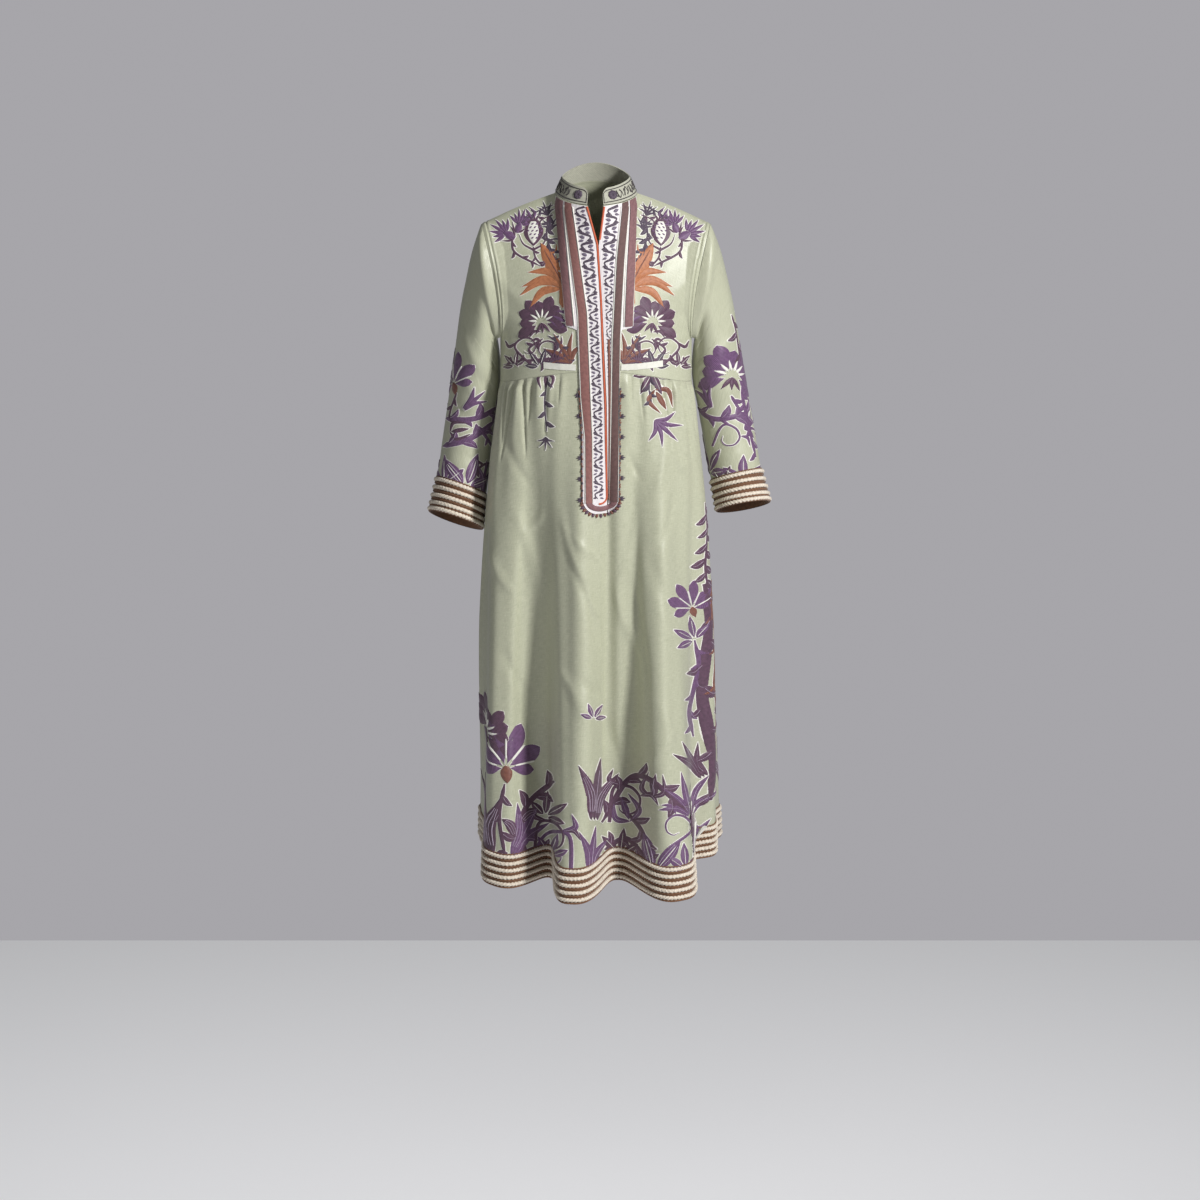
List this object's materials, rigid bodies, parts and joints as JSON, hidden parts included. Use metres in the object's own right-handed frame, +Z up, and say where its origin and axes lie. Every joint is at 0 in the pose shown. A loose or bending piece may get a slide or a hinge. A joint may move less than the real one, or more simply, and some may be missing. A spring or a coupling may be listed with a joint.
{
  "type": "kaftan dress",
  "caption": "Long-sleeved kaftan dress in its worn, hollow shape: stand collar, narrow neck slit, embroidered placket, gathered high-waist skirt with large folds, corded cuffs and hem",
  "frame": {"origin": "the middle of the neck, level with the side of the neck seam, where a wearer's neck and shoulders hold the garment up", "axes": "+Z up, the front faces -Y, +X is the wearer's left"},
  "size_m": [0.6175, 0.4103, 1.3183],
  "materials": {
    "satin": "pale sage green satin-faced weave with a soft sheen",
    "cords": "rows of twisted cream cord between brown cords",
    "placket_ground": "matt off-white cloth under dark vine embroidery",
    "ribbon": "flat mauve-brown braid with a ribbed weave",
    "piping": "thin orange-red corded edge",
    "tab": "off-white woven tape",
    "rosette": "dark purple thread worked as a small raised disc"
  },
  "bodies": {
    "root": {"bodice_front_right": "satin", "bodice_front_left": "satin", "bodice_back": "satin", "skirt_front": "satin", "skirt_back": "satin", "sleeve_right": "satin", "sleeve_left": "satin", "collar": "satin", "cuff_right": "cords", "cuff_left": "cords", "hem_band_front": "cords", "hem_band_back": "cords", "placket_right": "placket_ground", "placket_left": "placket_ground", "ribbon_right_outer": "ribbon", "ribbon_right_inner": "ribbon", "ribbon_left_inner": "ribbon", "ribbon_left_outer": "ribbon", "piping_right": "piping", "piping_left": "piping", "waist_tab_right": "tab", "waist_tab_left": "tab", "rosette_right": "rosette", "rosette_left": "rosette"}
  },
  "joints": []
}
